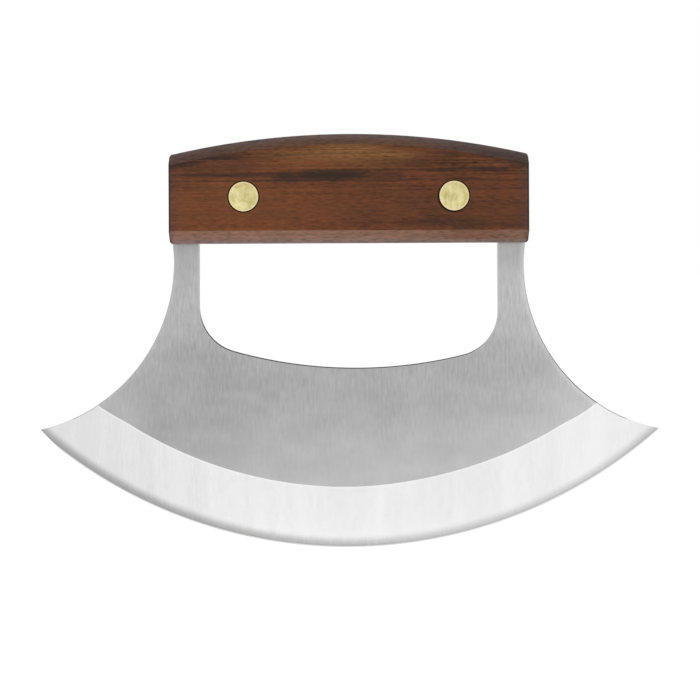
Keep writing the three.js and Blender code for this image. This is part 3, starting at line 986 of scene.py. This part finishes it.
def walnut_sanded_and_oiled():
    """Sanded and oiled walnut: the eye sees a deep brown satin, chamfers of dust with painted light and
    shade, and dark end grain with painted shade
    """
    material, tree = fresh_material("walnut_sanded_and_oiled")
    coordinates = add(tree, "ShaderNodeTexCoord").node.outputs
    straight = add(tree, "ShaderNodeVectorMath", {0: coordinates["Object"], "Scale": 1 / MM},
                   operation="SCALE")
    place = board_place(tree, straight)
    noises = patterns(tree, place, GRAIN)
    face = rivet_marks(tree, straight, oiled_face(tree, place, noises))
    dust_and_painted_light = chamfer_dust_and_painted_light(tree, straight, noises, face)

    facing = add(tree, "ShaderNodeSeparateXYZ", {0: coordinates["Normal"]}).node.outputs
    slant = add(tree, "ShaderNodeMath", {0: facing["Z"]}, operation="ABSOLUTE")
    chamfer = add(tree, "ShaderNodeMapRange", {
        "Value": slant, "From Min": CHAMFER_SLANT[0], "From Max": CHAMFER_SLANT[1]})
    # the ends' darker colour is end grain and painted shade; their roughness is the end grain's
    endward = add(tree, "ShaderNodeMath", {0: facing["X"]}, operation="ABSOLUTE")
    end_grain_and_shade = add(tree, "ShaderNodeMapRange", {
        "Value": endward, "From Min": END_FACING[0], "From Max": END_FACING[1], "To Max": END_SHARE})
    colour = face
    for share, over in ((chamfer, dust_and_painted_light), (end_grain_and_shade, linear(END_GRAIN_AND_SHADE))):
        colour = add(tree, "ShaderNodeMix", {"Factor": share, "A": colour, "B": over}, data_type="RGBA")

    dents = add(tree, "ShaderNodeMapRange", {
        "Value": noises["pores"], "From Min": PORE_START, "From Max": PORE_FULL})
    matte = add(tree, "ShaderNodeMath", {0: dents, 1: end_grain_and_shade}, operation="MAXIMUM")
    roughness = add(tree, "ShaderNodeMapRange", {
        "Value": matte, "To Min": WOOD_ROUGHNESS[0], "To Max": WOOD_ROUGHNESS[1]})
    bump = add(tree, "ShaderNodeBump", {"Strength": PORE_BUMP, "Distance": PORE_RELIEF, "Height": dents},
               invert=True)
    wood = add(tree, "ShaderNodeBsdfPrincipled", {
        "Base Color": colour, "Roughness": roughness, "Specular IOR Level": WOOD_SHEEN, "Normal": bump})
    add(tree, "ShaderNodeOutputMaterial", {"Surface": wood})
    return material


walnut = walnut_sanded_and_oiled()
print("material:", walnut.name, "with", len(walnut.node_tree.nodes), "nodes")

# %% [markdown]
# ### The two scales
#
# The scales were shaped on the tang and sanded together, so every outer edge is just broken. The edges
# against the plate stay sharp, or a groove would open beside the tang, and so do the rims of the
# counterbores, which fit the rivet heads closely.

# %% The two scales
SCALE_ROUNDING = 0.25 * MM
COUNTERBORE_REACH = 5.5 * MM
PLATE_SIDE = 1.5 * blade_high.y  # edges nearer than this to the middle lie against the plate


def scale_arris(edge):
    """An outer edge of a scale, away from the plate and from the counterbores"""
    middle = (edge.verts[0].co + edge.verts[1].co) / 2
    from_rivet = math.hypot(abs(middle.x) - rivet_middle.x, middle.z - rivet_middle.z)
    return abs(middle.y) > PLATE_SIDE and from_rivet > COUNTERBORE_REACH


for side in ("front", "back"):
    softened(f"{side}_scale", f"{side}_walnut_scale", walnut, scale_arris, SCALE_ROUNDING)

# %% [markdown]
# ## Brass: turned, riveted and ground flush
#
# A cutler's rivet is turned from brass rod: a hollow barrel from the front, and a pin that is pressed into
# it from the back. Both heads were ground flush with the wood and buffed, which leaves a pale, slightly
# cloudy yellow with upright scratches. A paler rim is a painted highlight on the rounded edge, and a dark
# line round it is painted shade at the rim's broken edge. Polished brass is typically 0.2 to 0.4 rough, and
# as a metal it keeps the default IOR.

# %% The brass finish
BRASS_DARK = "#B4A766"
BRASS_LIGHT = "#ECE2AC"
# Width, depth and height of one patch in mm, and its detail. Real scratches are far too fine to show, so one
# patch stands for a bundle of them.
BRASS_PATTERNS = {
    "clouds": ((3.0, 3.0, 3.0), 3.0),
    "scratches": ((0.8, 0.8, 5.0), 3.0),
}
BRASS_NOISE_ROUGHNESS = 0.6
BRASS_TONE = -1.14
BRASS_WEIGHTS = {"clouds": 2.2, "scratches": 0.9}
# painted highlight on the rounded rim
RIM_HIGHLIGHT = "#E8D3AE"
# painted shade at the rim's broken edge, where it meets the gap
RIM_SHADE = "#5C4A20"
PALE_RIM_HIGHLIGHT = (("radius", 3.4, 3.65, 0.8),)
SHADED_RIM = (("radius", 3.84, 3.96, 1.0),)
BRASS_ROUGHNESS = (0.36, 0.24)  # in the dark clouds and in the light ones


def brass_ground_flush():
    """Brass ground flush: the eye sees a pale cloudy yellow, with a painted highlight on the rim and painted
    shade round its edge
    """
    material, tree = fresh_material("brass_ground_flush")
    spot = add(tree, "ShaderNodeTexCoord").node.outputs["Object"]
    place = add(tree, "ShaderNodeVectorMath", {0: spot, "Scale": 1 / MM}, operation="SCALE")
    measures = {"radius": from_rivet_axis(tree, place)}
    noises = patterns(tree, place, BRASS_PATTERNS, BRASS_NOISE_ROUGHNESS)
    tone = weighed(tree, BRASS_TONE, noises, BRASS_WEIGHTS)
    colour = add(tree, "ShaderNodeMix", {"Factor": tone, "A": linear(BRASS_DARK), "B": linear(BRASS_LIGHT)},
                 data_type="RGBA")
    for drifts, code in ((PALE_RIM_HIGHLIGHT, RIM_HIGHLIGHT), (SHADED_RIM, RIM_SHADE)):
        share = drifting(tree, 0.0, measures, drifts, "LINEAR")
        colour = add(tree, "ShaderNodeMix", {"Factor": share, "A": colour, "B": linear(code)},
                     data_type="RGBA")
    roughness = add(tree, "ShaderNodeMapRange", {
        "Value": tone, "To Min": BRASS_ROUGHNESS[0], "To Max": BRASS_ROUGHNESS[1]})
    metal = add(tree, "ShaderNodeBsdfPrincipled", {
        "Base Color": colour, "Metallic": 1.0, "Roughness": roughness})
    add(tree, "ShaderNodeOutputMaterial", {"Surface": metal})
    return material


brass = brass_ground_flush()
print("material:", brass.name, "with", len(brass.node_tree.nodes), "nodes")

# %% [markdown]
# ### The four rivet halves
#
# Turning by Screw or Spin would make the same bodies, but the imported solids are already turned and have
# rounded rims, so they only get their finish.

# %% The four rivet halves
for end in ("left", "right"):
    for rivet_half in ("barrel", "pin"):
        softened(f"rivet_{end}_{rivet_half}", f"brass_{end}_{rivet_half}", brass)
